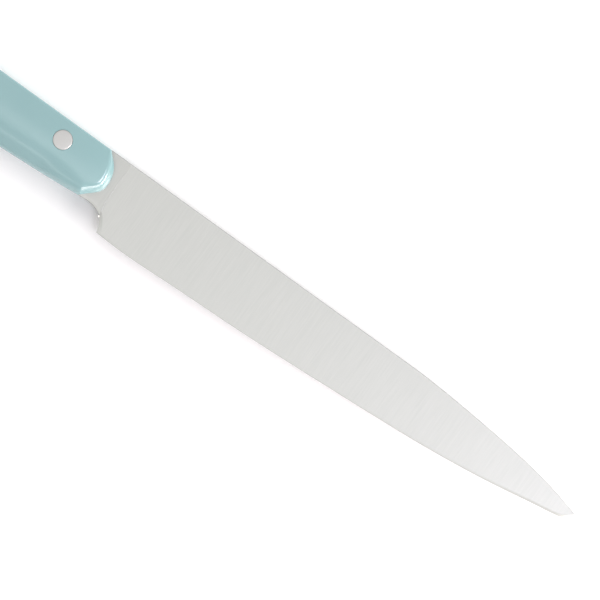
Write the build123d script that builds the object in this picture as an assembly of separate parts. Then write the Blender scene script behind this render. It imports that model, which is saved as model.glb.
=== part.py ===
from build123d import *
from math import radians, sin, sqrt, tan
import os

# A fixed-blade carving knife with a full tang, lying on its left side.
# While it is modelled, X runs from the front of the handle scales to the tip,
# Y is zero along the straight spine and negative towards the cutting edge,
# and Z is zero in the middle of the steel. Lengths are in millimetres.

# Steel: blade, ricasso and tang in one piece
blade_length = 254.0            # from the front of the scales to the tip
handle_length = 127.0           # from the front of the scales to the butt
tang_thickness = 2.5
blade_spine_thickness = 2.3     # of the ground blade, at its start
heel_edge_thickness = 0.4       # of the grind at the heel, behind the edge bevel
tip_thickness = 0.9

# Outline of the blade, seen from the side
spine_straight_length = 155.0   # from the front of the scales
spine_drop = 10.9               # from the straight spine to the nose of the tip
spine_drop_shares = ((0.424, 0.205), (0.697, 0.455), (0.879, 0.74))
nose_depth = 11.9               # of the foremost point, below the spine line
nose_back = 0.9                 # from the tip to the end of the spine curve
heel_depth = 33.7               # from the spine line to the heel point
heel_reach = 8.2                # heel point, forward of the scales
edge_shares = ((0.074, 1.014), (0.19, 0.988), (0.319, 0.955), (0.528, 0.866),
               (0.738, 0.745), (0.878, 0.603), (0.94, 0.525), (0.9735, 0.482),
               (0.9882, 0.44), (0.9965, 0.386))

# Choil and throat: the arch under the ricasso, where a finger rests
choil_reach = 4.1
choil_depth = 26.6
heel_bow_shares = (0.64, 0.45)  # how far the heel slope bows towards the blade
throat_setback = 4.3
throat_depth = 24.6
throat_angle = 5.0              # of the handle's underside at the throat, in degrees

# Plunge line, where the grind starts
plunge_reach = 3.3
plunge_straight_depth = 17.0
plunge_foot_reach = 4.9         # where the line meets the underside
plunge_wall_angle = 40.0        # from upright, in degrees
heel_bevel_width = 1.75
heel_bevel_edge_thickness = 0.2
edge_bevel_angle = 17.0         # of each side, in degrees
edge_land = 0.06                # thickness left at the apex

# Handle, seen from the side
palm_depth = 29.2               # greatest depth below the spine line
palm_share = 0.614              # where it lies along the handle
underside_shares = ((0.126, 0.17), (0.331, 0.59))
butt_depth = 27.9
butt_underside_setback = 14.0   # from the butt to the end of the underside
butt_top_setback = 10.0
butt_middle_share = 0.5         # of the butt's depth, where it reaches furthest back
butt_rise_angle = 5.0

# Handle scales
scale_thickness = 8.0
scale_top_setback = 7.6         # where the front outline starts on the spine
scale_foot_setback = 8.2        # where it ends on the underside
scale_nose_depth = 12.2         # where it reaches furthest forward
scale_brow_shares = (0.68, 0.437)
scale_cheek_shares = ((0.065, 0.366), (0.40, 0.641))
top_rounding = 3.0
front_rounding = 4.9
belly_rounding = 8.0
butt_rounding = 4.5
wall_steps = 3                  # sections of the loft below the top rounding
rounding_steps = 5              # and within it
crown_flat_start = 9.0          # depth at which the flat of the side begins
crown_flat_width = 8.0
crown_radius = 60.0

# Rivets
rivet_names = ("front", "middle", "rear")
rivet_head_diameter = 8.9
rivet_head_thickness = 2.2
rivet_proud = 0.15
rivet_rim_rounding = 0.35
rivet_barrel_diameter = 5.0
rivet_shank_diameter = 3.0
rivet_end_gap = 0.4             # between the barrel's end and the other head
rivet_bore_rest = 2.0           # metal between the bore's end and the scale's face
shank_chamfer = 0.3
front_rivet_setback = 27.6
rear_rivet_inset = 17.4         # from the butt
rivet_depth = 9.0
fit_clearance = 0.03            # radial, around heads and shanks
barrel_clearance = 0.1          # radial, around the barrels

overrun = 2.0                   # how far cutting solids reach past what they cut
half_steel = tang_thickness / 2
scale_face = half_steel + scale_thickness
seat_height = scale_face - rivet_head_thickness


def depth_point(x, depth):
    """A point of the side view at x, that far below the spine line."""
    return Vector(x, -depth)


def part_way(start, end, shares):
    """A point between two others, at its own share of the way in X and in Y."""
    along, down = shares
    return start + Vector((end - start).X * along, (end - start).Y * down)


def upright(radius, low, high):
    """A round bar along Z between two heights."""
    bar = Cylinder(radius, high - low, align=(Align.CENTER, Align.CENTER, Align.MIN))
    return Pos(0, 0, low) * bar


rivet_pitch = (handle_length - front_rivet_setback - rear_rivet_inset) / (len(rivet_names) - 1)
rivet_places = [depth_point(-front_rivet_setback - step * rivet_pitch, rivet_depth)
                for step in range(len(rivet_names))]

# Outlines in the side view

underside_slope = tan(radians(throat_angle))
scale_foot_depth = throat_depth + (scale_foot_setback - throat_setback) * underside_slope


def underside(start_setback, inset):
    """The handle's underside, from its front to the butt, raised by the inset."""
    swell = palm_depth - scale_foot_depth
    points = [depth_point(-start_setback, scale_foot_depth - inset)]
    for along, down in underside_shares:
        points.append(depth_point(-along * handle_length, scale_foot_depth + down * swell - inset))
    points.append(depth_point(-palm_share * handle_length, palm_depth - inset))
    points.append(depth_point(butt_underside_setback - handle_length, butt_depth - inset))
    rise = tan(radians(butt_rise_angle))
    return Spline(points, tangents=[(-1, -underside_slope), (-1, rise)])


def butt(belly_inset, butt_inset, top_inset):
    """The rounded end of the handle, from its underside up to the spine."""
    low = depth_point(butt_underside_setback - handle_length, butt_depth - belly_inset)
    middle = depth_point(butt_inset - handle_length, butt_middle_share * butt_depth)
    high = depth_point(butt_top_setback - handle_length, top_inset)
    rise = tan(radians(butt_rise_angle))
    return Spline([low, middle, high], tangents=[(-1, rise), (0, 1), (1, 0)])


def blade_spine():
    """The spine from where it leaves the straight line to the nose of the tip."""
    start = Vector(spine_straight_length, 0)
    reach = blade_length - nose_back - spine_straight_length
    points = [start]
    for along, down in spine_drop_shares:
        points.append(start + depth_point(along * reach, down * spine_drop))
    points.append(depth_point(blade_length - nose_back, spine_drop))
    return Spline(points, tangents=[(1, 0), points[-1] - points[-2]])


def cutting_edge():
    """The cutting edge from the heel to the nose of the tip."""
    points = [depth_point(heel_reach, heel_depth)]
    for along, down in edge_shares:
        points.append(depth_point(along * blade_length, down * heel_depth))
    return Spline(points)


def steel_outline():
    """The whole piece of steel, seen from the side."""
    spine_start = Vector(butt_top_setback - handle_length, 0)
    spine_line = Line(spine_start, (spine_straight_length, 0))
    curve = blade_spine()
    edge = cutting_edge()
    nose = ThreePointArc(curve @ 1, depth_point(blade_length, nose_depth), edge @ 1)
    choil = depth_point(choil_reach, choil_depth)
    heel = edge @ 0
    heel_slope = ThreePointArc(heel, part_way(choil, heel, heel_bow_shares), choil)
    throat = depth_point(-throat_setback, throat_depth)
    arch = TangentArc(throat, choil, tangent=(1, underside_slope))
    foot = depth_point(-scale_foot_setback, scale_foot_depth)
    ledge = Line(throat, foot)
    under = underside(scale_foot_setback, 0)
    end = butt(0, 0, 0)
    return make_face(spine_line + curve + nose + edge + heel_slope + arch + ledge + under + end)


def leaning_prism(face, sideways, upwards):
    """A prism whose sides lean, from a flat face."""
    path = Vector(sideways.X, sideways.Y, upwards)
    return extrude(face, amount=path.length, dir=path)


# Blade and tang, the upper half first

def grind_plane():
    """The flat grind of the upper side, through the spine, the heel and the tip."""
    spine = Vector(0, 0, blade_spine_thickness / 2)
    heel = Vector(heel_reach, -heel_depth, heel_edge_thickness / 2)
    tip = Vector(blade_length, -nose_depth, tip_thickness / 2)
    return Plane(origin=spine, x_dir=tip - spine, z_dir=(heel - spine).cross(tip - spine))


def heel_bevel_plane():
    """The narrow bevel along the heel slope."""
    choil = Vector(choil_reach, -choil_depth, heel_bevel_edge_thickness / 2)
    heel = Vector(heel_reach, -heel_depth, heel_bevel_edge_thickness / 2)
    along = (heel - choil).normalized()
    inwards = Vector(-along.Y, along.X, 0)
    depth_share = choil_depth / heel_depth
    face_height = (blade_spine_thickness * (1 - depth_share) + heel_edge_thickness * depth_share) / 2
    climb = Vector(0, 0, face_height - heel_bevel_edge_thickness / 2)
    top = choil + inwards * heel_bevel_width + climb
    return Plane(origin=choil, x_dir=along, z_dir=along.cross(top - choil))


def keep_below(solid, plane):
    """The part of a solid on the underside of a plane that faces up."""
    side = Keep.BOTTOM if plane.z_dir.Z > 0 else Keep.TOP
    return split(solid, bisect_by=plane, keep=side)


def ricasso_side():
    """Everything behind the plunge line, with the line's sloping wall."""
    wall_run = (half_steel + overrun) * tan(radians(plunge_wall_angle))
    start = Vector(plunge_reach, overrun)
    bend = depth_point(plunge_reach, plunge_straight_depth)
    foot = depth_point(plunge_foot_reach, choil_depth + overrun)
    line = Line(start, bend)
    arc = TangentArc(bend, foot, tangent=(0, -1))
    back = -handle_length - overrun
    low = -(palm_depth + overrun)
    corners = [arc @ 1, (plunge_foot_reach, low), (back, low), (back, overrun), start]
    face = make_face(line + arc + Polyline(*corners))
    at_face = half_steel * tan(radians(plunge_wall_angle))
    return leaning_prism(Pos(at_face, 0, 0) * face, Vector(-wall_run, 0), half_steel + overrun)


def edge_bevel_side():
    """Everything above the bevel of the upper side's cutting edge."""
    edge = cutting_edge()
    past_tip = Vector(blade_length + overrun, 0)
    run_on = edge @ 1 + (edge % 1) * (past_tip.X - (edge @ 1).X)
    corners = [run_on, (run_on.X, overrun), (0, overrun), (0, -heel_depth), edge @ 0]
    face = make_face(edge + Line(edge @ 1, run_on) + Polyline(*corners))
    height = half_steel
    back = Vector(0, height / tan(radians(edge_bevel_angle)))
    return leaning_prism(Pos(0, 0, edge_land / 2) * face, back, height) + extrude(face, edge_land / 2)


def blade():
    outline = steel_outline()
    plate = extrude(outline, half_steel)
    ground = keep_below(plate, grind_plane())
    ground = keep_below(ground, heel_bevel_plane())
    ground = ground & edge_bevel_side()
    upper = (plate & ricasso_side()) + ground
    steel = upper + mirror(upper, Plane.XY)
    hole_radius = rivet_barrel_diameter / 2 + barrel_clearance
    for place in rivet_places:
        steel -= Pos(*place) * Cylinder(hole_radius, tang_thickness + overrun)
    return steel


# Handle scales

def inset_at(rounding, height):
    """How far a rounded side has drawn in at a height above the tang."""
    climb = max(height - (scale_thickness - rounding), 0)
    return rounding - sqrt(rounding**2 - climb**2)


def scale_section(height):
    """The outline of a scale at a height above the tang."""
    top = inset_at(top_rounding, height)
    front = inset_at(front_rounding, height)
    belly = inset_at(belly_rounding, height)
    rear = inset_at(butt_rounding, height)
    corner = depth_point(-(scale_top_setback + top * (sqrt(2) - 1)), top)
    nose = depth_point(-front, scale_nose_depth)
    foot_setback = scale_foot_setback - belly + front * sqrt(2)
    foot = depth_point(-foot_setback, scale_foot_depth - belly)
    brow = part_way(corner, nose, scale_brow_shares)
    cheek = [part_way(nose, foot, shares) for shares in scale_cheek_shares]
    front_curve = Spline([corner, brow, nose, *cheek, foot], tangents=[(1, -1), (-1, -1)])
    under = underside(foot_setback, belly)
    end = butt(belly, rear, top)
    return Pos(0, 0, height) * make_face(front_curve + under + end + Line(end @ 1, corner))


def crown():
    """The gently crowned side of a scale, with a flat in its middle."""
    low = palm_depth + overrun
    flat_start = Vector(0, -crown_flat_start, scale_thickness)
    flat_end = flat_start - Vector(0, crown_flat_width)
    flat = Line(flat_start, flat_end)
    top_reach = crown_flat_start + overrun
    top_drop = crown_radius - sqrt(crown_radius**2 - top_reach**2)
    belly_reach = low - crown_flat_start - crown_flat_width
    belly_drop = crown_radius - sqrt(crown_radius**2 - belly_reach**2)
    top = flat_start + Vector(0, top_reach, -top_drop)
    belly = flat_end - Vector(0, belly_reach, belly_drop)
    top_arc = TangentArc(flat_start, top, tangent=(0, 1, 0))
    belly_arc = TangentArc(flat_end, belly, tangent=(0, -1, 0))
    walls = Polyline(top, (0, top.Y, -overrun), (0, belly.Y, -overrun), belly)
    section = make_face(flat + top_arc + belly_arc + walls)
    return extrude(section, amount=handle_length + overrun, dir=(-1, 0, 0))


def scale():
    """The upper scale, lying on the tang's face."""
    straight = scale_thickness - top_rounding
    low_heights = [straight * step / wall_steps for step in range(wall_steps + 1)]
    turns = [radians(90 * step / rounding_steps) for step in range(rounding_steps + 1)]
    high_heights = [straight + top_rounding * sin(turn) for turn in turns]
    wall = loft([scale_section(height) for height in low_heights])
    rounded = loft([scale_section(height) for height in high_heights])
    body = Pos(0, 0, half_steel) * ((wall + rounded) & crown())
    recess = upright(rivet_head_diameter / 2 + fit_clearance, seat_height, scale_face + overrun)
    hole = upright(rivet_barrel_diameter / 2 + barrel_clearance, 0, scale_face)
    for place in rivet_places:
        body -= Pos(*place) * (recess + hole)
    return body


# Rivets

def rivet_head():
    """A rivet head, seated in the upper scale with its rounded rim just proud."""
    head = upright(rivet_head_diameter / 2, seat_height, scale_face + rivet_proud)
    return fillet(head.edges().sort_by(Axis.Z)[-1], rivet_rim_rounding)


def rivet_pin():
    """The solid half, whose head lies in the right scale."""
    end = -(scale_face - rivet_bore_rest)
    shank = upright(rivet_shank_diameter / 2, end + rivet_end_gap, seat_height)
    shank = chamfer(shank.edges().sort_by(Axis.Z)[0], shank_chamfer)
    return rivet_head() + shank


def rivet_socket():
    """The hollow half, whose head lies in the left scale."""
    barrel = upright(rivet_barrel_diameter / 2, -seat_height, seat_height - rivet_end_gap)
    bore = upright(rivet_shank_diameter / 2 + fit_clearance, -(scale_face - rivet_bore_rest), scale_face)
    return mirror(rivet_head(), Plane.XY) + barrel - bore


pieces = {"blade": blade(), "right_scale": scale()}
pieces["left_scale"] = mirror(pieces["right_scale"], Plane.XY)
for name, place in zip(rivet_names, rivet_places):
    pieces[name + "_rivet_socket"] = Pos(*place) * rivet_socket()
    pieces[name + "_rivet_pin"] = Pos(*place) * rivet_pin()

# The origin goes under the middle of the knife, on the surface that it lies on
whole = Compound(children=[piece.solid() for piece in pieces.values()]).bounding_box()
middle = whole.center()
shift = Pos(-middle.X, -middle.Y, -whole.min.Z)

os.makedirs("parts", exist_ok=True)
for name, piece in pieces.items():
    solid = (shift * piece).solid()
    export_step(solid, "parts/" + name + ".step")
    print(name, round(solid.volume), solid.bounding_box().size)
print("shift", shift.position)
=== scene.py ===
# %% [markdown]
# # A carving knife on a white table
#
# The knife is nine pieces: one steel blade whose tang runs through the whole handle, two moulded scales on
# the tang, and three rivets, each pressed together from a pin and a socket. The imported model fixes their
# places and sizes. This lesson dresses each piece with a finer surface and the finish of its real material.

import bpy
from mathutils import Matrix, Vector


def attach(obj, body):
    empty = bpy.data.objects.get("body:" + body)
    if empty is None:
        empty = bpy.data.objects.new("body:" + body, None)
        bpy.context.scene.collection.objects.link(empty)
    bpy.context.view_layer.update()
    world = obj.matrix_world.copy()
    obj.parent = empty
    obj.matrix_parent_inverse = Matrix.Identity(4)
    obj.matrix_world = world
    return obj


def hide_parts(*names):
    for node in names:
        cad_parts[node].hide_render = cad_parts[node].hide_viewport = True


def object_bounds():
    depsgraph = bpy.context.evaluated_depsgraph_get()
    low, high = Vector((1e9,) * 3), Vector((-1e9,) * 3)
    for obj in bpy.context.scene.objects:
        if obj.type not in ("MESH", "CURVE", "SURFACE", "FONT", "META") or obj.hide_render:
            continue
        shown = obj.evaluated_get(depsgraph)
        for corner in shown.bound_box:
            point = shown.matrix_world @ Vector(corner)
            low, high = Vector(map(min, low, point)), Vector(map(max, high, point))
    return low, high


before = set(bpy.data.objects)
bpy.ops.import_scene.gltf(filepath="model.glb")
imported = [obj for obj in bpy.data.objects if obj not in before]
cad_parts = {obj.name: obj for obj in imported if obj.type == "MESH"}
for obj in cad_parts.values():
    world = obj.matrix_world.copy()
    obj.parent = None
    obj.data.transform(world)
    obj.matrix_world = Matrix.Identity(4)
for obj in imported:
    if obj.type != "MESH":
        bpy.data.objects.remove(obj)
cad_low, cad_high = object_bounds()
print("packed model, metres:", [round(v, 4) for v in cad_low], [round(v, 4) for v in cad_high])

# %% Tools
import math

import bmesh
import bpy
import numpy as np
from mathutils import Matrix, Vector

# %% [markdown]
# ## The knife's own side view
#
# A maker draws a knife from the side. Here X runs from the front of the handle scales to the tip, Y is zero
# on the straight spine and negative towards the cutting edge, and Z is zero in the middle of the steel, all
# in millimetres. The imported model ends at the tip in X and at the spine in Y, so its box gives the step from
# this drawing to the frame, and one function takes every surface there.

# %% From the drawing to the frame
MM = 0.001
blade_length = 254.0
handle_length = 127.0
drawing_origin = np.array([cad_high.x - blade_length * MM, cad_high.y, (cad_low.z + cad_high.z) / 2])


def to_frame(points):
    """Drawing millimetres to frame metres: the points times a thousandth, plus the drawing's origin."""
    return drawing_origin + np.asarray(points, float) * MM


print("front of the scales in the frame:", to_frame([0, 0, 0]).round(4))

# %% [markdown]
# ## The camera
#
# The photograph looks straight down, with the knife turned clockwise across the picture. A very long lens
# from 4 m keeps the knife almost free of perspective, so that the handle's high side shows where the drawing
# has it. Turning the camera, not the knife, leaves the frame alone.

# %% Camera over the middle of the picture
picture_width = 266.2          # millimetres across the whole picture, at the blade
picture_turn = 35.75           # degrees
picture_reach = 99.06          # picture's centre, forward of the scales
picture_depth = 5.19           # and below the spine line
camera_height = 4000.0         # above the blade

lens_data = bpy.data.cameras.new("camera")
lens_data.sensor_width = 36.0
lens_data.lens = lens_data.sensor_width * camera_height / picture_width
camera = bpy.data.objects.new("camera", lens_data)
bpy.context.scene.collection.objects.link(camera)
camera.location = to_frame([picture_reach, -picture_depth, camera_height])
camera.rotation_euler = (0, 0, math.radians(picture_turn))
bpy.context.scene.camera = camera
print("lens, millimetres:", round(lens_data.lens, 1))

# %% [markdown]
# ## Curves through a few points
#
# The outlines of a knife are smooth sweeps fixed by a handful of points and end directions. A Bezier object
# could draw them, but here they are wanted as arrays, to carry surfaces along them. A cubic curve with
# continuous bend does what a draughtsman's spline does, and round stretches are true arcs.

# %% Spline and arc
def smooth_curve(points, start=None, end=None, count=24, spans=None):
    """A cubic through the points, measured along its chords, as count samples over the given spans.

    On each span the curve is start + chord * (Hermite weights of the two slopes). The slopes solve the
    linear system that makes the bend continuous at each inner point: h1*s0 + 2*(h0+h1)*s1 + h0*s2
    = 3*(h1*d0 + h0*d1), with h the chords' lengths and d their directions. An end without a direction
    is left unbent: 2*s0 + s1 = 3*d0."""
    points = np.asarray(points, float)
    steps = np.diff(points, axis=0)
    length = np.linalg.norm(steps, axis=1)
    knots = np.concatenate([[0], np.cumsum(length)])
    direction = steps / length[:, None]
    size = len(points)
    system = np.zeros((size, size))
    wanted = np.zeros((size, 2))
    inner = np.arange(1, size - 1)
    before, after = length[inner - 1], length[inner]
    system[inner, inner - 1] = after
    system[inner, inner] = 2 * (before + after)
    system[inner, inner + 1] = before
    wanted[inner] = 3 * (after[:, None] * direction[inner - 1] + before[:, None] * direction[inner])
    for row, beside, given, chord in ((0, 1, start, direction[0]), (-1, -2, end, direction[-1])):
        if given is None:
            system[row, row], system[row, beside] = 2, 1
            wanted[row] = 3 * chord
        else:
            system[row, row] = 1
            wanted[row] = np.asarray(given, float) / np.linalg.norm(given)
    slopes = np.linalg.solve(system, wanted)
    first, last = spans or (0, size - 1)
    along = np.linspace(knots[first], knots[last], count)
    span = np.clip(np.searchsorted(knots, along, side="right") - 1, 0, size - 2)
    h = length[span][:, None]
    t = ((along - knots[span])[:, None]) / h
    ends = (2 * t**3 - 3 * t**2 + 1) * points[span] + (3 * t**2 - 2 * t**3) * points[span + 1]
    return ends + h * ((t**3 - 2 * t**2 + t) * slopes[span] + (t**3 - t**2) * slopes[span + 1])


def circle_through(rows, values):
    """The centre that satisfies two straight conditions: row . centre = value."""
    return np.linalg.solve(np.array(rows, float), np.array(values, float))


def arc_points(centre, start, end, count):
    """Points of the short arc from start to end about the centre: centre + radius * (cos, sin)."""
    first, last = (np.arctan2(*(np.subtract(point, centre)[::-1])) for point in (start, end))
    last = first + (last - first + np.pi) % (2 * np.pi) - np.pi
    angles = np.linspace(first, last, count)[:, None]
    radius = np.linalg.norm(np.subtract(start, centre))
    return centre + radius * np.hstack([np.cos(angles), np.sin(angles)])


def three_point_arc(start, middle, end, count):
    """The arc through three points, whose centre is equally far from all of them."""
    start, middle, end = (np.asarray(point, float) for point in (start, middle, end))
    centre = circle_through([2 * (middle - start), 2 * (end - start)],
                            [middle @ middle - start @ start, end @ end - start @ start])
    halves = arc_points(centre, start, middle, count), arc_points(centre, middle, end, count)
    return centre, np.vstack([halves[0], halves[1][1:]])


def tangent_arc(start, along, end, count):
    """The arc that leaves start along a direction and ends at end: its centre is square to the direction."""
    start, along, end = (np.asarray(point, float) for point in (start, along, end))
    centre = circle_through([along, 2 * (end - start)], [along @ start, end @ end - start @ start])
    return arc_points(centre, start, end, count)


test_arc = three_point_arc((0, 0), (1, 1), (2, 0), 3)[1]
print("an arc through (0, 0), (1, 1), (2, 0):", test_arc.round(3).tolist())

# %% [markdown]
# ## Closed skins from rings
#
# Blade and scales are long, so each is a row of closed rings, like the slices of a loaf. Every ring has the
# same number of points, neighbouring rings are joined by four-sided faces, and the rings at both ends are
# folded flat, so that merging their doubled points zips the skin shut without a cap.

# %% Rings to a mesh
MERGE = 1e-7                   # metres


def ring_skin(name, rings, creases=None):
    """A closed mesh from an array of rings (stations, points, 3).

    Face i, j joins points j and j+1 of rings i and i+1, counted round with a remainder. Creases give each
    point a set of bits, kept as an attribute: an edge whose two ends share a bit stays sharp."""
    stations, around, _ = rings.shape
    corner = np.arange(stations * around).reshape(stations, around)
    beside = np.roll(corner, -1, axis=1)
    faces = np.stack([corner[:-1], corner[1:], beside[1:], beside[:-1]], axis=-1).reshape(-1, 4)
    mesh = bpy.data.meshes.new(name)
    mesh.from_pydata(to_frame(rings.reshape(-1, 3)), [], faces.tolist())
    bits = np.zeros(stations * around, np.int32) if creases is None else creases.astype(np.int32).ravel()
    mesh.attributes.new("crease_bits", "INT", "POINT").data.foreach_set("value", bits)
    zipped = bmesh.new()
    zipped.from_mesh(mesh)
    bmesh.ops.remove_doubles(zipped, verts=zipped.verts, dist=MERGE)
    bmesh.ops.dissolve_degenerate(zipped, edges=zipped.edges, dist=MERGE)
    bmesh.ops.recalc_face_normals(zipped, faces=zipped.faces)
    zipped.to_mesh(mesh)
    zipped.free()
    piece = bpy.data.objects.new(name, mesh)
    bpy.context.scene.collection.objects.link(piece)
    return piece


def turned_skin(name, profile, place, around):
    """A closed lathe shape about an upright axis: profile points (radius, height) swung round by an angle."""
    angle = np.linspace(0, 2 * np.pi, around, endpoint=False)
    radius, height = np.asarray(profile, float).T
    x = place[0] + np.outer(radius, np.cos(angle))
    y = place[1] + np.outer(radius, np.sin(angle))
    return ring_skin(name, np.stack([x, y, np.repeat(height[:, None], around, axis=1)], axis=-1))


print("points closer than", MERGE, "m become one")

# %% [markdown]
# ## Cuts and shading
#
# A hole through a skin is worked out exactly, once, and kept in the mesh, as a drill leaves it. A surface is
# then shaded smooth, apart from the edges where the real one has a crease: those that turn sharply, and those
# whose ends carry the same mark.

# %% Cuts and shading
sharpest_smooth = 35.0         # degrees between two faces, past which their edge is a crease


def cut_away(piece, cutters):
    """Takes the cutters out of a piece with an applied Boolean, and removes them."""
    for cutter in cutters:
        cut = piece.modifiers.new("cut", "BOOLEAN")
        cut.operation, cut.solver, cut.object = "DIFFERENCE", "EXACT", cutter
    bpy.context.view_layer.update()
    depsgraph = bpy.context.evaluated_depsgraph_get()
    done = bpy.data.meshes.new_from_object(piece.evaluated_get(depsgraph))
    piece.modifiers.clear()
    before, piece.data = piece.data, done
    bpy.data.meshes.remove(before)
    for cutter in cutters:
        bpy.data.meshes.remove(cutter.data)


def shade(piece):
    """Smooth shading, sharp where two faces meet at more than the angle or both ends share a crease bit."""
    mesh = piece.data
    mesh.shade_smooth()
    mesh.set_sharp_from_angle(angle=math.radians(sharpest_smooth))
    ends = np.empty(len(mesh.edges) * 2, np.int32)
    mesh.edges.foreach_get("vertices", ends)
    bits = np.empty(len(mesh.vertices), np.int32)
    mesh.attributes["crease_bits"].data.foreach_get("value", bits)
    sharp = np.empty(len(mesh.edges), bool)
    mesh.attributes["sharp_edge"].data.foreach_get("value", sharp)
    shared = bits[ends.reshape(-1, 2)[:, 0]] & bits[ends.reshape(-1, 2)[:, 1]]
    mesh.attributes["sharp_edge"].data.foreach_set("value", sharp | (shared > 0))
    mesh.attributes.remove(mesh.attributes["crease_bits"])
    print(piece.name, "has", len(mesh.vertices), "points and", len(mesh.polygons), "faces")


print("edges stay sharp past", sharpest_smooth, "degrees")

# %% [markdown]
# ## The handle's outline
#
# Scales and tang are ground together on the real knife, so they share one outline: a straight top, a belly
# that fills the palm, and a rounded butt. Each stretch takes an inset, because the moulded scales draw in
# towards their outer side. The outline is cut at its hindmost and foremost points into an upper and a lower
# line, which the rings then join.

# %% Handle outline
throat_setback = 4.3
throat_depth = 24.6
throat_angle = 5.0             # degrees
palm_depth = 29.2
palm_share = 0.614
underside_shares = ((0.126, 0.17), (0.331, 0.59))
butt_depth = 27.9
butt_underside_setback = 14.0
butt_top_setback = 10.0
butt_middle_share = 0.5
butt_rise_angle = 5.0          # degrees
foot_setback = 8.2             # where the scales' front outline meets the underside
butt_samples = 16
side_samples = 64
underside_slope = math.tan(math.radians(throat_angle))
butt_rise = math.tan(math.radians(butt_rise_angle))
foot_depth = throat_depth + (foot_setback - throat_setback) * underside_slope


def underside(setback, inset):
    """The handle's underside from the butt to the front, raised by the inset."""
    swell = palm_depth - foot_depth
    points = [(-setback, inset - foot_depth)]
    points += [(-a * handle_length, inset - foot_depth - d * swell) for a, d in underside_shares]
    points += [(-palm_share * handle_length, inset - palm_depth)]
    points += [(butt_underside_setback - handle_length, inset - butt_depth)]
    line = smooth_curve(points, (-1, -underside_slope), (-1, butt_rise), side_samples)
    return line[::-1]


def butt_lines(belly_inset, rear_inset, top_inset):
    """The butt's outline from its hindmost point, upwards and downwards."""
    middle = (rear_inset - handle_length, -butt_middle_share * butt_depth)
    high = (butt_top_setback - handle_length, -top_inset)
    low = (butt_underside_setback - handle_length, belly_inset - butt_depth)
    upper = smooth_curve([middle, high], (0, 1), (1, 0), butt_samples)
    lower = smooth_curve([middle, low], (0, -1), (1, -butt_rise), butt_samples)
    return upper, lower


print("foot of the scales' front, depth:", round(foot_depth, 2))

# %% [markdown]
# ## Handle scales
#
# Each scale is moulded from a hard resin: flat on the tang, with a small rounding along the spine, large
# ones along the belly and round the butt, a shiny face at the front that is nearly a plain chamfer, and a
# gently crowned side. A bevel modifier would give one radius everywhere, so the insets are worked out
# instead. At each height above the tang every side has drawn in by its own rounding, and the outline is drawn
# anew through the drawn-in points.

# %% Scale outline at one height
tang_thickness = 2.5
scale_thickness = 8.0
top_setback = 7.6              # where the front outline starts on the spine
nose_depth_of_scale = 12.2
brow_shares = (0.68, 0.437)
cheek_shares = ((0.065, 0.366), (0.40, 0.641))
nose_share = 0.75              # of the front's rounding at the nose; the cheek below has all of it
front_samples = 28
nose_row, foot_row = 2, 5      # places of the nose and the foot among the front outline's points
half_steel = tang_thickness / 2

# The reach inwards and downwards, and the exponent, of each side's rounding
top_rounding = (2.2, 2.2, 2.0)
front_rounding = (5.6, 4.6, 1.35)
belly_rounding = (8.0, 8.0, 2.0)
rear_rounding = (4.5, 4.5, 2.0)


def part_way(start, end, shares):
    """start + (end - start) * shares, with a share of its own for each direction."""
    return np.asarray(start, float) + np.subtract(end, start) * shares


def scale_lines(top, front, belly, rear):
    """The scale's outline for four insets, as an upper and a lower line from the butt to the nose."""
    corner = (-(top_setback + top * (math.sqrt(2) - 1)), -top)
    nose = (-front * nose_share, -nose_depth_of_scale)
    setback = foot_setback - belly + front * math.sqrt(2)
    foot = (-setback, belly - foot_depth)
    cheek = [part_way(nose, foot, shares) for shares in cheek_shares]
    points = [corner, part_way(corner, nose, brow_shares), nose, *cheek, foot]
    brow_line = smooth_curve(points, (1, -1), (-1, -1), front_samples, (0, nose_row))
    cheek_line = smooth_curve(points, (1, -1), (-1, -1), front_samples, (nose_row, foot_row))[::-1]
    butt_upper, butt_lower = butt_lines(belly, rear, top)
    spine = np.linspace(butt_upper[-1], corner, side_samples)
    upper = np.vstack([butt_upper[:-1], spine[:-1], brow_line])
    lower = np.vstack([butt_lower[:-1], underside(setback, belly)[:-1], cheek_line])
    return upper, lower


def rounding_inset(inwards, downwards, exponent, height):
    """How far a side has drawn in at a height: inwards * (1 - (1 - climb^exponent)^(1/exponent)).

    Climb goes from 0 to 1 over the top stretch, as high as downwards says. With both reaches alike, exponent
    2 is a quarter circle, and a smaller one leans towards a plain chamfer."""
    climb = min(max(1 - (scale_thickness - height) / downwards, 0), 1)
    return inwards * (1 - (1 - climb**exponent) ** (1 / exponent))


print("points of the upper and lower outline:", [len(line) for line in scale_lines(0, 0, 0, 0)])

# %% [markdown]
# ### The crowned side
#
# The side of each scale isn't flat. It swells to a crest that runs along the handle, which a hand feels and
# which bends the reflections. It is worked out as a height for every place of the side, and where it meets
# the roundings the two melt into each other, as they do under a polishing wheel.

# %% Crowned side
crest_depth = 9.5              # depth of the side's highest line
crest_to_spine_radius = 60.0
crest_to_belly_radius = 75.0
palm_arc_width = 10.5          # the tighter arc starts this far above the underside
palm_arc_radius = 20.0
front_flattens = (-30.0, -8.0) # x over which the belly's arcs flatten towards the front
crest_arc_left = 0.5           # share of the crest's arc that is left there
front_fall_start = -30.0       # x where the side begins to fall towards the front
front_fall_reach = 24.0
front_fall = 0.5               # at the end of that reach
melt_limit = 0.8               # greatest gap over which wall and crown melt
least_melt = 1e-7              # keeps the blend from a division by zero
belly_outline = underside(foot_setback, 0)


def arc_drop(radius, away):
    """How far an arc has dropped at a distance from its top: radius - sqrt(radius^2 - away^2)."""
    return radius - np.sqrt(radius**2 - np.minimum(away, radius) ** 2)


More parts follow.
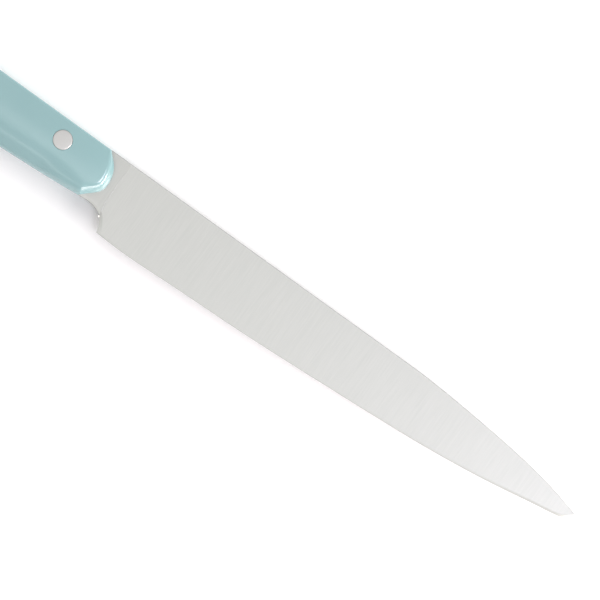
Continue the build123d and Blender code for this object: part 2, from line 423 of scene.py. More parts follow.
def crowned(height, x, y):
    """The surface's height where a side wall has reached the given height, at that place of the scale.

    The crown drops by two arcs: a long one across the side from its crest, and a tighter one along the
    underside, which fades towards the front. There the side also falls, by the cube of the distance. The
    lower of wall and crown counts, less (melt - gap)^2 / (4 * melt) where their gap is smaller than the melt,
    which blends them."""
    across = crest_depth + y
    to_belly = arc_drop(crest_to_belly_radius, -across) * np.interp(x, front_flattens, (1, crest_arc_left))
    drop = np.where(across > 0, arc_drop(crest_to_spine_radius, across), to_belly)
    above_underside = y - np.interp(x, belly_outline[:, 0], belly_outline[:, 1])
    palm = arc_drop(palm_arc_radius, np.maximum(palm_arc_width - above_underside, 0))
    drop += palm * np.interp(x, front_flattens, (1, 0))
    drop += front_fall * np.maximum((x - front_fall_start) / front_fall_reach, 0) ** 3
    crown = scale_thickness - drop
    melt = np.clip(drop, least_melt, melt_limit)
    return np.minimum(height, crown) - np.maximum(melt - np.abs(height - crown), 0) ** 2 / (4 * melt)


shown_depths = np.array([2.0, crest_depth, 25.0])
crown_heights = crowned(scale_thickness, np.full(3, -handle_length / 2), -shown_depths)
print("crown at depths", shown_depths, "is", crown_heights.round(2))

# %% Scale skin
edge_break = 0.15              # where the scale meets the tang
height_steps = 26
across_steps = 30


def scale_rings():
    """Rings round the scale: up the spine's wall, over the crowned side, down the belly, back on the tang."""
    turns = np.linspace(0, np.pi / 2, height_steps)
    heights = edge_break + (scale_thickness - edge_break) * np.sin(turns)
    insets = [[edge_break] * 4]
    roundings = (top_rounding, front_rounding, belly_rounding, rear_rounding)
    insets += [[rounding_inset(*rounding, height) for rounding in roundings] for height in heights]
    lines = np.array([scale_lines(*four) for four in insets])
    levels = np.concatenate([[0], heights])[:, None] * np.ones(lines.shape[2])
    upper = np.concatenate([lines[:, 0], levels[:, :, None]], axis=-1)
    lower = np.concatenate([lines[:, 1], levels[:, :, None]], axis=-1)
    share = np.linspace(0, 1, across_steps + 1)[1:-1, None, None]
    side = upper[-1] * (1 - share) + lower[-1] * share
    outer = np.concatenate([upper, side, lower[::-1]])
    outer[:, :, 2] = crowned(outer[:, :, 2], outer[:, :, 0], outer[:, :, 1])
    seat = lower[0] * (1 - share) + upper[0] * share
    rings = np.concatenate([outer, seat]).swapaxes(0, 1)
    rings[:, :, 2] += half_steel
    return rings


print("scale rings:", scale_rings().shape)

# %% [markdown]
# ## Rivet seats
#
# The rivets' heads sit in round recesses with a slightly broken rim, and their barrels pass through a hole.
# A turned cutter has both diameters and the flare of the rim, and an applied Boolean takes it away.

# %% Rivet places and seats
rivet_names = ("front", "middle", "rear")
head_diameter = 8.9
head_thickness = 2.2
barrel_diameter = 5.0
front_rivet_setback = 27.6
rear_rivet_inset = 17.4        # from the butt
rivet_depth = 9.0
fit_clearance = 0.03
barrel_clearance = 0.1
rim_break = 0.2                # how far the recess flares at the scale's face
overrun = 2.0
rivet_segments = 96
scale_face = half_steel + scale_thickness
seat_height = scale_face - head_thickness
rivet_setbacks = np.linspace(front_rivet_setback, handle_length - rear_rivet_inset, len(rivet_names))
rivet_places = [(-setback, -rivet_depth) for setback in rivet_setbacks]


def seat_cutter(place):
    """A turned cutter: barrel hole below the seat, head recess above it, 45 degrees of flare at the rim."""
    hole = barrel_diameter / 2 + barrel_clearance
    recess = head_diameter / 2 + fit_clearance
    flare = rim_break + overrun
    profile = [(0, -overrun), (hole, -overrun), (hole, seat_height), (recess, seat_height)]
    profile += [(recess, scale_face - rim_break), (recess + flare, scale_face + overrun)]
    return turned_skin("seat cutter", profile + [(0, scale_face + overrun)], place, rivet_segments)


right_handle_scale = ring_skin("right_handle_scale", scale_rings())
cut_away(right_handle_scale, [seat_cutter(place) for place in rivet_places])
shade(right_handle_scale)

# %% [markdown]
# The other scale is the mirror image through the middle of the steel. Mirroring turns every face inside
# out, so its normals are flipped back after its points are moved.

# %% Left scale
def mirrored(piece, name):
    """A copy of a piece with z turned to twice the steel's middle height minus z, and its faces flipped."""
    mesh = piece.data.copy()
    mesh.name = name
    mesh.transform(Matrix.Translation((0, 0, 2 * drawing_origin[2])) @ Matrix.Diagonal((1, 1, -1, 1)))
    mesh.flip_normals()
    copy = bpy.data.objects.new(name, mesh)
    bpy.context.scene.collection.objects.link(copy)
    return copy


left_handle_scale = mirrored(right_handle_scale, "left_handle_scale")
print("left scale, lowest point:", round(min(v.co.z for v in left_handle_scale.data.vertices), 5))

# %% [markdown]
# ## Blade and tang
#
# The steel is one bar. Behind the plunge line it keeps the tang's thickness, and in front of it both sides
# are ground flat from the spine to the edge, with a narrow honed bevel at the very edge. Each ring crosses
# the steel from a point of the upper outline to a point of the lower one. Rings follow the plunge line and
# its wall, and one row follows the bevels' upper line, so that every crease of the grind lies on the grid and
# stays crisp.

# %% Steel outline, values
spine_straight_length = 155.0
spine_drop = 10.9
spine_drop_shares = ((0.424, 0.205), (0.697, 0.455), (0.879, 0.74))
nose_depth = 11.9              # foremost point of the blade, below the spine line
nose_back = 0.9                # from the tip to where spine and edge end
heel_depth = 33.7
heel_reach = 8.2
edge_shares = ((0.074, 1.013), (0.19, 0.988), (0.319, 0.955), (0.528, 0.866), (0.738, 0.745),
               (0.878, 0.603), (0.94, 0.525), (0.9735, 0.482), (0.9882, 0.44), (0.9965, 0.386))
choil_reach = 4.1
choil_depth = 26.6
heel_bow_shares = (0.64, 0.45)
blade_samples = 150
nose_samples = 8
arch_samples = 14
spine_samples = 200
edge_samples = 600

choil = (choil_reach, -choil_depth)
heel = (heel_reach, -heel_depth)
spine_points = [(spine_straight_length, 0)]
spine_reach = blade_length - nose_back - spine_straight_length
spine_points += [(spine_straight_length + a * spine_reach, -d * spine_drop) for a, d in spine_drop_shares]
spine_points += [(blade_length - nose_back, -spine_drop)]
towards_nose = np.subtract(spine_points[-1], spine_points[-2])
spine_curve = smooth_curve(spine_points, (1, 0), towards_nose, spine_samples)
edge_points = [heel] + [(a * blade_length, -d * heel_depth) for a, d in edge_shares]
edge_curve = smooth_curve(edge_points, count=edge_samples)
nose_point = (blade_length, -nose_depth)
nose_curve = three_point_arc(spine_curve[-1], nose_point, edge_curve[-1], nose_samples)[1]
heel_bow = part_way(choil, heel, heel_bow_shares)
heel_centre = three_point_arc(choil, heel_bow, heel, nose_samples)[0]
heel_radius = np.linalg.norm(np.subtract(heel, heel_centre))
arch_curve = tangent_arc((-throat_setback, -throat_depth), (1, underside_slope), choil, arch_samples)
print("edge from", edge_curve[0].round(2), "to", edge_curve[-1].round(2), "heel radius", heel_radius.round(2))

# %% [markdown]
# ### The grind
#
# Each side of the blade is ground to one plane, and the wheel's edge leaves the plunge line, a small wall
# between the grind and the full thickness of the bar. So the thickness is a plane through three known places,
# and the wall's foot follows from the drop between bar and grind and the wall's angle.

# %% Grind and plunge line
blade_spine_thickness = 2.3
heel_edge_thickness = 0.4
tip_thickness = 0.9
plunge_reach = 3.3
plunge_straight_depth = 17.0
plunge_foot_reach = 4.9        # of the line at the depth below
plunge_foot_depth = choil_depth + overrun
plunge_wall_angle = 34.0       # degrees from upright
heel_bevel_width = 1.75
heel_bevel_edge = 0.1          # half the steel's thickness along the heel slope
edge_bevel_angle = 17.0        # degrees
edge_land = 0.03               # half the thickness left at the very edge
search_steps = 2000

ground_points = np.array([(0, 0), heel, nose_point])
ground_heights = np.array([blade_spine_thickness, heel_edge_thickness, tip_thickness]) / 2
grind_terms = np.linalg.solve(np.column_stack([np.ones(3), ground_points]), ground_heights)


def ground(x, y):
    """Half the thickness of the ground blade: the plane through its spine, its heel and its tip."""
    return grind_terms[0] + grind_terms[1] * x + grind_terms[2] * y


def plunge_line(y):
    """X of the plunge line: straight down from the spine, then an arc that sweeps forward below."""
    down = plunge_foot_depth - plunge_straight_depth
    forward = plunge_foot_reach - plunge_reach
    radius = (down**2 + forward**2) / (2 * forward)
    below = np.maximum(-y - plunge_straight_depth, 0)
    return plunge_reach + radius - np.sqrt(radius**2 - below**2)


def wall_foot(y):
    """X where the plunge wall meets the grind: the line plus the wall's drop times the angle's tangent."""
    drop = half_steel - ground(plunge_line(y), y)
    return plunge_line(y) + drop * math.tan(math.radians(plunge_wall_angle))


def crossing(line, radius):
    """Where a line x(y) runs into a circle about the heel slope's centre, at the gap's change of sign."""
    y = np.linspace(-heel_depth, -throat_depth, search_steps)
    gap = line(y) - heel_centre[0] - np.sqrt(np.maximum(radius**2 - (y - heel_centre[1]) ** 2, 0))
    found = np.interp(0, gap, y)
    return np.array([float(line(found)), found])


line_foot = crossing(plunge_line, heel_radius)
wall_end = crossing(wall_foot, heel_radius)
bevel_start = crossing(wall_foot, heel_radius + heel_bevel_width)
print("plunge line ends at", line_foot.round(2), "its wall at", wall_end.round(2), bevel_start.round(2))

# %% [markdown]
# ### Upper and lower lines
#
# The rings need two lines with the same number of points: one along the spine and one along the belly, the
# arch, the heel slope and the cutting edge. Points that belong to one ring share their place in both lines.

# %% Lines that the rings join
spine_ease = 0.2               # rounding of the bar's long corners
arch_ease = 0.55               # and of the arch in front of the handle, which a finger may touch
edge_slope = math.tan(math.radians(edge_bevel_angle))
heel_fade = 8.0                # length over which the hone takes over from the heel's corner
heel_stations = 10
choil_stations = 4             # between the arch and the plunge line


def edge_height(x):
    """Y of the cutting edge at x."""
    return np.interp(x, edge_curve[:, 0], edge_curve[:, 1])


def bevel_width(x):
    """Where the honed bevel reaches the grind, above the edge: height to climb over difference in slope."""
    return (ground(x, edge_height(x)) - edge_land) / (edge_slope - grind_terms[2])


def on_heel(start, end, radius, count):
    """Points of a circle about the heel slope's centre, in even steps of Y between two points."""
    y = np.linspace(start[1], end[1], count)
    return np.column_stack([heel_centre[0] + np.sqrt(radius**2 - (y - heel_centre[1]) ** 2), y])


def along_x(start, end, like):
    """Points on the spine line whose X keeps pace with another line's X."""
    pace = (like[:, 0] - like[0, 0]) / (like[-1, 0] - like[0, 0])
    return np.column_stack([start + (end - start) * pace, np.zeros(len(like))])


butt_upper, butt_lower = butt_lines(0, 0, 0)
spine_of_tang = along_x(butt_upper[-1, 0], -foot_setback, belly_outline)
below_choil = on_heel(choil, line_foot, heel_radius, choil_stations)[1:]
arch = np.vstack([belly_outline[-1:], arch_curve, below_choil])
spine_of_arch = along_x(-foot_setback, plunge_reach, arch)
slope = on_heel(wall_end, heel, heel_radius, heel_stations)
mitre_y = heel[1] + bevel_width(heel_reach)
mitre = on_heel((0, mitre_y), (0, mitre_y), heel_radius + heel_bevel_width, 1)[0]
slope_crease = on_heel(bevel_start, mitre, heel_radius + heel_bevel_width, heel_stations)
spine_of_slope = along_x(float(wall_foot(0.0)), mitre[0], slope)

crease_x = np.linspace(mitre[0], edge_curve[-1, 0], blade_samples)
fade = np.clip((crease_x - mitre[0]) / heel_fade, 0, 1)
fade = 1 - fade**2 * (3 - 2 * fade)
edge_x = crease_x - (mitre[0] - heel_reach) * fade
edge = np.column_stack([edge_x, edge_height(edge_x)])
spine_line = np.vstack([[0, 0], spine_curve])
spine = np.column_stack([crease_x, np.interp(crease_x, spine_line[:, 0], spine_line[:, 1])])
edge_crease = np.column_stack([crease_x, edge_height(crease_x) + bevel_width(crease_x)])
nose_upper, nose_lower = nose_curve[1:nose_samples], nose_curve[nose_samples - 1:-1][::-1]
ends_of_edge = np.array([heel_reach, blade_length - nose_back])
print("bevel width at heel and tip:", bevel_width(ends_of_edge).round(2))

# %% Stations of the steel
nose_crease_share = 0.66       # most that the bevel may take of the nose's depth
upper = np.vstack([butt_upper[:-1], spine_of_tang[:-1], spine_of_arch, spine_of_slope, spine[1:], nose_upper])
lower = np.vstack([butt_lower[:-1], belly_outline[:-1], arch, slope, edge[1:], nose_lower])
behind = len(butt_upper) + len(belly_outline) + len(arch) - 2
station = np.arange(len(upper))
is_ground = station >= behind
on_slope = is_ground & (station < behind + heel_stations)
on_nose = station >= len(upper) - len(nose_upper)
depth = np.linalg.norm(upper - lower, axis=1)


def inwards(line, turn):
    """Unit directions square to a line: (dy, -dx) for the upper line and (-dy, dx) for the lower one."""
    run = np.gradient(line, axis=0)
    square = np.column_stack([run[:, 1], -run[:, 0]]) * turn
    square /= np.linalg.norm(square, axis=1)[:, None]
    square[0] = (1, 0)
    return square


ease = np.minimum(spine_ease, depth * (1 - nose_crease_share) / 2)
ease[0] = spine_ease
shoulder = upper + inwards(upper, 1) * ease[:, None]
low_ease = np.full(len(upper), spine_ease)
arch_share = np.sin(np.linspace(0, np.pi / 2, len(arch)))
low_ease[behind - len(arch):behind] = spine_ease + (arch_ease - spine_ease) * arch_share
bevel = lower + inwards(lower, -1) * low_ease[:, None]
bevel[on_slope] = slope_crease
bevel[is_ground & ~on_slope & ~on_nose] = edge_crease[1:]
reach = np.minimum(bevel_width(blade_length - nose_back) / depth[on_nose], nose_crease_share)
bevel[on_nose] = lower[on_nose] + (upper - lower)[on_nose] * reach[:, None]
print("stations:", len(upper), "behind the plunge line:", behind)

# %% Rings of the steel
corner_rows = 4
face_rows = 14
BEVEL_BIT, PLUNGE_BIT, FOOT_BIT, SHOULDER_BIT = 1, 2, 4, 8   # the creases that stay sharp


def face_height(points):
    """Half the steel's thickness: the tang's, or the lower of the grind and the honed bevel's plane."""
    from_edge = np.linalg.norm(points - lower[:, None], axis=-1)
    blade = np.minimum(ground(points[..., 0], points[..., 1]), edge_land + from_edge * edge_slope)
    return np.where(is_ground[:, None], blade, half_steel)


def bowed(points):
    """Bends each station's face row like the plunge line, fading with the distance from it."""
    near = np.zeros(len(upper))
    near[behind - len(arch):behind] = np.linspace(0, 1, len(arch))
    near[on_slope] = np.linspace(1, 0, heel_stations)
    y = points[..., 1]
    line = np.where(is_ground[:, None], wall_foot(y), plunge_line(y))
    share = np.linspace(0, 1, points.shape[1])
    points[..., 0] += near[:, None] * (line - line[:, :1] * (1 - share) - line[:, -1:] * share)
    return points


def blade_rings():
    """Rings round the steel, from upper point over shoulder, face and bevel to lower point, and mirrored."""
    turn = np.linspace(0, np.pi / 2, corner_rows)[:-1]
    share = np.linspace(0, 1, face_rows)[None, :, None]
    face = bowed(shoulder[:, None] * (1 - share) + bevel[:, None] * share)
    face_z = face_height(face)

    corner = shoulder[:, None] + (upper - shoulder)[:, None] * np.cos(turn)[None, :, None]
    corner_z = face_z[:, :1] - ease[:, None] * (1 - np.sin(turn))
    corner_z[-1] = edge_land

    low_z = np.where(is_ground, edge_land, half_steel - low_ease)
    low_z[on_slope] = heel_bevel_edge
    hone = on_slope.argmax() + heel_stations + np.arange(len(fade) - 1)
    low_z[hone] = edge_land + (heel_bevel_edge - edge_land) * fade[1:]
    flat_share = 1 - np.linspace(0, 1, corner_rows)[1:]
    in_plan = np.where(is_ground[:, None], flat_share, 1 - np.cos(np.pi / 2 * flat_share))
    in_height = np.where(is_ground[:, None], flat_share, np.sin(np.pi / 2 * flat_share))
    foot = lower[:, None] + (bevel - lower)[:, None] * in_plan[..., None]
    foot_z = low_z[:, None] + (face_z[:, -1:] - low_z[:, None]) * in_height

    plan = np.concatenate([corner, face, foot], axis=1)
    height = np.concatenate([corner_z, face_z, foot_z], axis=1)
    side = np.concatenate([plan, height[..., None]], axis=-1)
    bits = np.zeros(height.shape, np.int32)
    across = slice(len(turn), len(turn) + face_rows)
    bits[is_ground, len(turn) + face_rows - 1] |= BEVEL_BIT
    bits[behind - 1, across] |= PLUNGE_BIT
    bits[behind, len(turn):] |= FOOT_BIT
    bits[:, len(turn)] |= SHOULDER_BIT
    other = side[:, ::-1] * (1, 1, -1)
    return np.concatenate([side, other], axis=1), np.concatenate([bits, bits[:, ::-1]], axis=1)


print("steel rings:", blade_rings()[0].shape)

# %% Steel skin
def barrel_cutter(place):
    """A turned bar as wide as the hole for a rivet's barrel."""
    hole = barrel_diameter / 2 + barrel_clearance
    profile = [(0, -overrun), (hole, -overrun), (hole, overrun), (0, overrun)]
    return turned_skin("barrel cutter", profile, place, rivet_segments)


blade_and_tang = ring_skin("blade_and_tang", *blade_rings())
cut_away(blade_and_tang, [barrel_cutter(place) for place in rivet_places])
shade(blade_and_tang)

# %% [markdown]
# ## Rivets
#
# A knife rivet is two turned pieces: a pin with a solid shank, and a socket whose bored barrel takes it in a
# press. Both have a nearly flat head with a rounded rim. A lathe shape is the real way to make them: one
# profile from the axis, out over the head and back along the shank to the axis, swung round a full turn.

# %% Turned rivet halves
head_proud = 0.15              # how far the head stands out of the scale
head_dome = 0.06               # how far the head's middle stands over its rim
rim_rounding = 0.35
shank_diameter = 3.0
end_gap = 0.4                  # left between a barrel's or shank's end and what it faces
bore_rest = 2.0                # metal between the bore's end and the scale's face
shank_chamfer = 0.3
rim_rows = 7
dome_rows = 8


def head_profile():
    """From the axis over a shallow dome, head_dome * (1 - share^2), round the rim, and down to the seat."""
    flat_radius = head_diameter / 2 - rim_rounding
    top = scale_face + head_proud - head_dome
    share = np.linspace(0, 1, dome_rows)
    dome = np.column_stack([share * flat_radius, top + head_dome * (1 - share**2)])
    turn = np.linspace(0, np.pi / 2, rim_rows)[1:]
    outwards, downwards = rim_rounding * np.sin(turn), rim_rounding * (1 - np.cos(turn))
    rim = np.column_stack([flat_radius + outwards, top - downwards])
    return np.vstack([dome, rim, [(head_diameter / 2, seat_height)]])


def pin_profile():
    """The head, then the solid shank down to its chamfered end."""
    shank = shank_diameter / 2
    end = end_gap + bore_rest - scale_face
    return np.vstack([head_profile(), [(shank, seat_height), (shank, end + shank_chamfer),
                                       (shank - shank_chamfer, end), (0, end)]])


def socket_profile():
    """The same head, then the barrel's outside, its far end, and the blind bore back to the axis."""
    barrel, bore = barrel_diameter / 2, shank_diameter / 2 + fit_clearance
    far, bottom = end_gap - seat_height, scale_face - bore_rest
    return np.vstack([head_profile(), [(barrel, seat_height), (barrel, far), (bore, far),
                                       (bore, bottom), (0, bottom)]])


rivets = {}
for name, place in zip(rivet_names, rivet_places):
    rivets[name + "_rivet_pin"] = turned_skin(name + "_pin", pin_profile(), place, rivet_segments)
    flipped = socket_profile() * (1, -1)
    rivets[name + "_rivet_socket"] = turned_skin(name + "_socket", flipped, place, rivet_segments)
for rivet in rivets.values():
    shade(rivet)

# %% [markdown]
# ## Finishes
#
# Each material starts from what the real one is. Two small helpers carry all of them: one turns a colour as
# a painter writes it, sRGB hex, into the linear values that light needs, and one adds a node.

# %% Colour and node helpers
def linear(hex_colour, alpha=1.0):
    """sRGB hex to linear: c / 12.92 below 0.04045, and ((c + 0.055) / 1.055)^2.4 above."""
    value = np.array([int(hex_colour[i:i + 2], 16) / 255 for i in (1, 3, 5)])
    return (*np.where(value <= 0.04045, value / 12.92, ((value + 0.055) / 1.055) ** 2.4), alpha)


def add_node(tree, kind, inputs=None, **settings):
    """Adds a node, sets its properties, and gives its inputs a value or another node's output."""
    node = tree.nodes.new(kind)
    for name, value in settings.items():
        setattr(node, name, value)
    for name, value in (inputs or {}).items():
        if isinstance(value, bpy.types.NodeSocket):
            tree.links.new(value, node.inputs[name])
        else:
            node.inputs[name].default_value = value
    return node


def finish_of(name, shader_inputs, build):
    """A material whose Principled shader has plain inputs, plus those that build(tree) works out."""
    material = bpy.data.materials.new(name)
    material.use_nodes = True
    tree = material.node_tree
    tree.nodes.clear()
    shader = add_node(tree, "ShaderNodeBsdfPrincipled", {**shader_inputs, **build(tree)})
    add_node(tree, "ShaderNodeOutputMaterial", {"Surface": shader.outputs["BSDF"]})
    return material


def wear(material, *pieces):
    """Gives pieces a single material."""
    for piece in pieces:
        piece.data.materials.clear()
        piece.data.materials.append(material)
    print(material.name, "with", len(material.node_tree.nodes), "nodes on", len(pieces), "pieces")


print("middle grey, linear:", round(float(linear("#808080")[0]), 3))

# %% [markdown]
# ### Moulded resin
#
# The scales are a pale teal resin, cast in a polished mould: glossy, hard and opaque, with a colour that is
# not quite even, and the slight waviness of all moulded plastic, a few millimetres wide, which makes a
# reflected lamp swim a little instead of lying ruler-straight.

# %% Pale teal moulded resin
resin_base, resin_deep = "#8AB1B3", "#84ACAE"
cloud_size = 18.0              # millimetres between lighter and deeper patches of pigment
cloud_detail = 3.0
ripple_size = 5.0              # and between the crests of the skin's ripple
ripple_detail = 1.0
ripple_height = 0.006
cast_roughness = 0.2
resin_index = 1.57             # bends light a little more than glass does
resin_shine = 1.0              # twice the plain level, for the mould's hard polish


def resin_pattern(tree):
    """Clouds in the pigment, and a moulded ripple as bump."""
    place = add_node(tree, "ShaderNodeTexCoord").outputs["Object"]
    clouds = add_node(tree, "ShaderNodeTexNoise", {"Vector": place, "Scale": 1 / (cloud_size * MM),
                                                   "Detail": cloud_detail})
    pigment = add_node(tree, "ShaderNodeMix", {0: clouds.outputs["Fac"], "A": linear(resin_deep),
                                               "B": linear(resin_base)}, data_type="RGBA")
    ripple = add_node(tree, "ShaderNodeTexNoise", {"Vector": place, "Scale": 1 / (ripple_size * MM),
                                                   "Detail": ripple_detail})
    bump = add_node(tree, "ShaderNodeBump", {"Height": ripple.outputs["Fac"],
                                             "Distance": ripple_height * MM})
    return {"Base Color": pigment.outputs["Result"], "Normal": bump.outputs["Normal"]}


resin_values = {"Roughness": cast_roughness, "IOR": resin_index, "Specular IOR Level": resin_shine}
moulded_resin = finish_of("pale_teal_moulded_resin", resin_values, resin_pattern)
wear(moulded_resin, right_handle_scale, left_handle_scale)

# %% [markdown]
# ### Satin ground stainless steel
#
# The blade is finished on a wide belt that runs from spine to edge, so its scratches lie across it. The eye
# sees a soft grey sheen with faint cross lines. Real scratches are a hundredth of a millimetre wide, too
# fine for any picture of a whole knife, so the pattern bundles them into lines that just show. The bar's
# narrow sides, along the spine and round the handle, get a darker steel. This is painted shade that stands in
# for the dark reflections along the bar's edges.

# %% Satin ground stainless steel
steel_base, steel_dark = "#BEBEBA", "#B2B3AF"
painted_side_shade = "#7E7E7C"         # painted shade on the narrow sides, for the dark reflections along the edges
side_shade_turn = (0.35, 0.8)        # how far a face looks along Y where that tone starts and is full
side_shade_upright = (0.45, 0.1)     # and how little it looks up or down, for the butt's end
line_pitch = 0.5               # millimetres along the blade
line_length = 14.0             # and across it
line_detail = 4.0
scratch_height = 0.0012
satin_roughness = 0.3


def ground_pattern(tree):
    """Noise drawn out across the blade, which tints and scratches the steel, and painted shade on the narrow
    sides.
    """
    coordinates = add_node(tree, "ShaderNodeTexCoord").outputs
    place = coordinates["Object"]
    stretch = (1 / (line_pitch * MM), 1 / (line_length * MM), 1 / (line_length * MM))
    drawn = add_node(tree, "ShaderNodeMapping", {"Vector": place, "Scale": stretch})
    lines = add_node(tree, "ShaderNodeTexNoise", {"Vector": drawn.outputs["Vector"], "Scale": 1.0,
                                                  "Detail": line_detail})
    tint = add_node(tree, "ShaderNodeMix", {0: lines.outputs["Fac"], "A": linear(steel_dark),
                                            "B": linear(steel_base)}, data_type="RGBA")
    # Painted shade: faces that look sideways, and the butt's end, get a darker steel for the dark reflections
    # along the edges.
    looks = add_node(tree, "ShaderNodeSeparateXYZ", {"Vector": coordinates["Normal"]})
    sideways = add_node(tree, "ShaderNodeMath", {0: looks.outputs["Y"]}, operation="ABSOLUTE")
    along = add_node(tree, "ShaderNodeMapRange", {"Value": sideways.outputs["Value"],
                                                  "From Min": side_shade_turn[0], "From Max": side_shade_turn[1]})
    upward = add_node(tree, "ShaderNodeMath", {0: looks.outputs["Z"]}, operation="ABSOLUTE")
    upright = add_node(tree, "ShaderNodeMapRange", {"Value": upward.outputs["Value"],
                                                    "From Min": side_shade_upright[0],
                                                    "From Max": side_shade_upright[1]})
    side_shade_mask = add_node(tree, "ShaderNodeMath", {0: along.outputs["Result"], 1: upright.outputs["Result"]},
                      operation="MAXIMUM")
    tone = add_node(tree, "ShaderNodeMix", {0: side_shade_mask.outputs["Value"], "A": tint.outputs["Result"],
                                            "B": linear(painted_side_shade)}, data_type="RGBA")
    bump = add_node(tree, "ShaderNodeBump", {"Height": lines.outputs["Fac"],
                                             "Distance": scratch_height * MM})
    return {"Base Color": tone.outputs["Result"], "Normal": bump.outputs["Normal"]}


ground_steel = finish_of("satin_ground_stainless_steel", {"Metallic": 1.0, "Roughness": satin_roughness},
                         ground_pattern)
wear(ground_steel, blade_and_tang)

# %% [markdown]
# ### Turned and tumbled rivet steel
#
# Rivet heads are turned, pressed, and tumbled dull, so they are duller and more even than the blade. Only a
# fine grain is left.

# %% Tumbled rivet steel
rivet_base, rivet_dark = "#BEBDBA", "#B7B6B3"
grain_size = 0.6               # millimetres, coarser than the real grain so that it shows
grain_detail = 4.0
tumbled_roughness = 0.38


def tumbled_pattern(tree):
    """A fine, even grain in tint and bump."""
    place = add_node(tree, "ShaderNodeTexCoord").outputs["Object"]
    grain = add_node(tree, "ShaderNodeTexNoise", {"Vector": place, "Scale": 1 / (grain_size * MM),
                                                  "Detail": grain_detail})
    tint = add_node(tree, "ShaderNodeMix", {0: grain.outputs["Fac"], "A": linear(rivet_dark),
                                            "B": linear(rivet_base)}, data_type="RGBA")
    bump = add_node(tree, "ShaderNodeBump", {"Height": grain.outputs["Fac"],
                                             "Distance": scratch_height * MM})
    return {"Base Color": tint.outputs["Result"], "Normal": bump.outputs["Normal"]}


tumbled_steel = finish_of("tumbled_stainless_steel", {"Metallic": 1.0, "Roughness": tumbled_roughness},
                          tumbled_pattern)
wear(tumbled_steel, *rivets.values())

# %% [markdown]
# ## Joined to the frame
#
# Nothing on this knife moves, so every piece rides on the one body. Each new piece stands for its node of
# the imported model, which is hidden.

# %% Ride and replace
dressed = {"blade": blade_and_tang, "right_scale": right_handle_scale, "left_scale": left_handle_scale,
           **rivets}
for node, piece in dressed.items():
    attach(piece, "root")
    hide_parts(node)
print(len(dressed), "pieces dressed")

# %% [markdown]
# ## White table
#
# The knife lies on plain matt white paper. A real studio burns such a ground out to clean white. Here it gets
# a small lift instead, for the camera and for mirror rays alone, so that the light on the knife stays plain
# and its soft shadow stays on the table. The lift is least along the belly, where the shadow is deepest, and
# grows with the distance from there. That grading is painted shade: it makes the shadow by the belly darker
# and shorter than the lamps alone make it.

# %% Table
table_size = 4000.0
half = table_size / 2 * MM
floor_z = cad_low.z
table_corners = [(x * half, y * half, floor_z) for x, y in ((-1, -1), (1, -1), (1, 1), (-1, 1))]
table_mesh = bpy.data.meshes.new("table")
table_mesh.from_pydata(table_corners, [], [(0, 1, 2, 3)])
table = bpy.data.objects.new("table", table_mesh)
bpy.context.scene.collection.objects.link(table)
print("table top at", round(floor_z, 5), "m")

# %% Rays that see the white ground
def seen_or_mirrored(tree):
    """1 for rays from the camera, a mirror or through glass, so that metal shows the same background."""
    path = add_node(tree, "ShaderNodeLightPath").outputs
    either = add_node(tree, "ShaderNodeMath", {0: path["Is Camera Ray"], 1: path["Is Glossy Ray"]},
                      operation="ADD")
    return add_node(tree, "ShaderNodeMath", {0: either.outputs["Value"], 1: path["Is Transmission Ray"]},
                    operation="ADD", use_clamp=True).outputs["Value"]


# %% Matt white paper
table_white = "#F2F2F2"
lift_near = 0.10               # along the belly's line, where it paints the shadow darker
lift_away = 0.26               # and away from it
lift_line = -26.0              # drawing Y of that line
lift_reach = (3.0, 16.0)       # distances from it between which the lift grows

paper = bpy.data.materials.new("matt_white_paper")
paper.use_nodes = True
tree = paper.node_tree
tree.nodes.clear()
matt = add_node(tree, "ShaderNodeBsdfDiffuse", {"Color": linear(table_white)})
table_place = add_node(tree, "ShaderNodeTexCoord").outputs["Object"]
table_axes = add_node(tree, "ShaderNodeSeparateXYZ", {"Vector": table_place}).outputs
line_y = float(to_frame([0, lift_line, 0])[1])
off_line = add_node(tree, "ShaderNodeMath", {0: table_axes["Y"], 1: line_y}, operation="SUBTRACT")
beside = add_node(tree, "ShaderNodeMath", {0: off_line.outputs["Value"]}, operation="ABSOLUTE")
from_middle = add_node(tree, "ShaderNodeMath", {0: table_axes["X"]}, operation="ABSOLUTE")
beyond = add_node(tree, "ShaderNodeMath", {0: from_middle.outputs["Value"], 1: cad_high.x},
                  operation="SUBTRACT")
distance = add_node(tree, "ShaderNodeMath", {0: beside.outputs["Value"], 1: beyond.outputs["Value"]},
                    operation="MAXIMUM")
# Painted shade: the glow is weakest along the belly's shadow, which darkens and shortens that shadow.
shadow_shaping_lift = add_node(tree, "ShaderNodeMapRange", {"Value": distance.outputs["Value"],
                                               "From Min": lift_reach[0] * MM,
                                               "From Max": lift_reach[1] * MM,
                                               "To Min": lift_near, "To Max": lift_away})
lift = add_node(tree, "ShaderNodeMath", {0: seen_or_mirrored(tree), 1: shadow_shaping_lift.outputs["Result"]},
                operation="MULTIPLY")
glow = add_node(tree, "ShaderNodeEmission", {"Strength": lift.outputs["Value"]})
both = add_node(tree, "ShaderNodeAddShader", {0: matt.outputs["BSDF"], 1: glow.outputs["Emission"]})
add_node(tree, "ShaderNodeOutputMaterial", {"Surface": both.outputs["Shader"]})
wear(paper, table)

# %% [markdown]
# ## Soft room
#
# The white room shines more from the spine's side than from the belly's, as a room with one large window
# does. The camera, mirrors and glass see it evenly white.

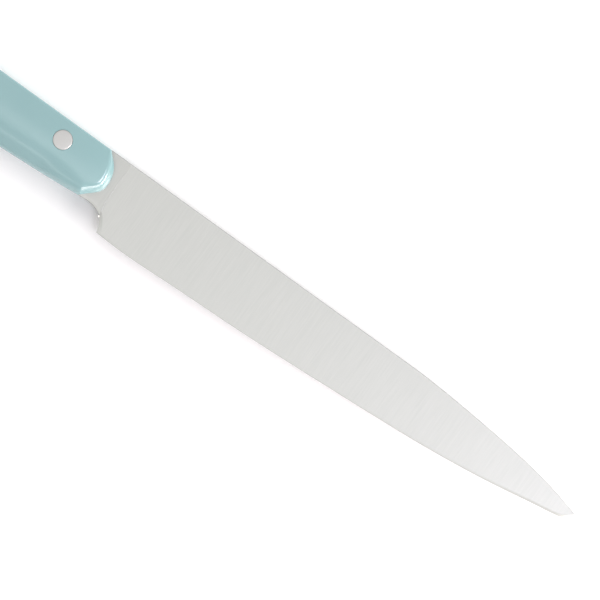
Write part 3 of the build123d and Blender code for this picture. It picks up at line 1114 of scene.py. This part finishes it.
# %% White room
belly_side = 0.33              # brightness overhead and on the belly's side
spine_side = 1.75              # and level on the spine's side
world = bpy.data.worlds.new("white room")
world.use_nodes = True
bpy.context.scene.world = world
tree = world.node_tree
tree.nodes.clear()
towards = add_node(tree, "ShaderNodeTexCoord").outputs["Generated"]
axes = add_node(tree, "ShaderNodeSeparateXYZ", {"Vector": towards})
side = add_node(tree, "ShaderNodeMapRange", {"Value": axes.outputs["Y"], "From Min": 0.0, "From Max": 1.0,
                                             "To Min": belly_side, "To Max": spine_side})
level = add_node(tree, "ShaderNodeMix", {0: seen_or_mirrored(tree), "A": side.outputs["Result"], "B": 1.0},
                 data_type="FLOAT")
white = add_node(tree, "ShaderNodeBackground", {"Color": linear("#FFFFFF"),
                                                "Strength": level.outputs["Result"]})
add_node(tree, "ShaderNodeOutputWorld", {"Surface": white.outputs["Background"]})
print("the room has", len(tree.nodes), "nodes")

# %% [markdown]
# ## Soft lamps
#
# Two long strips on the belly's side light the knife evenly from end to end. A lamp high beyond the tip makes
# the blade paler towards its point, and two low ones off the tip draw the bright line on the front of the
# handle. The high one is a little cooler than white, and the low ones are a little warmer.

# %% Lamps
def soft_box(name, place, size, brightness, tone="#FFFFFF", along=(1, 0, 0), aim=(0, -15, 0)):
    """An oblong area lamp at a drawing place, facing the aim, with its first side held to a direction.

    Its face shines in its tone at a brightness, where 1 is as bright as lit white paper:
    power = brightness * pi * area."""
    data = bpy.data.lights.new(name, "AREA")
    data.shape = "RECTANGLE"
    data.size, data.size_y = size[0] * MM, size[1] * MM
    data.energy = brightness * math.pi * data.size * data.size_y
    data.color = linear(tone)[:3]
    lamp = bpy.data.objects.new(name, data)
    bpy.context.scene.collection.objects.link(lamp)
    facing = Vector(to_frame(place) - to_frame(aim)).normalized()
    side = (Vector(along) - facing * facing.dot(Vector(along))).normalized()
    turn = Matrix((side, facing.cross(side), facing)).transposed().to_4x4()
    lamp.matrix_world = Matrix.Translation(Vector(to_frame(place))) @ turn
    print(name, "gives", round(data.energy, 2), "W")


soft_box("above_belly", (200, -270, 2000), (1600, 240), 0.9)
soft_box("belly_strip", (0, -1560, 1900), (1600, 200), 1.3)
soft_box("above_tip", (850, -170, 2000), (500, 500), 9.5, "#F1EEFF")
soft_box("tip_near", (450, -390, 220), (330, 280), 5.1, "#FFF5F3", (0, 1, 0))
soft_box("tip_axis", (700, -60, 280), (400, 300), 10.0, "#FFF5F3", (0, 1, 0))

# %% [markdown]
# ## Look
#
# Colours are shown as they are, without a film curve.

# %% Look
bpy.context.scene.view_settings.view_transform = "Standard"
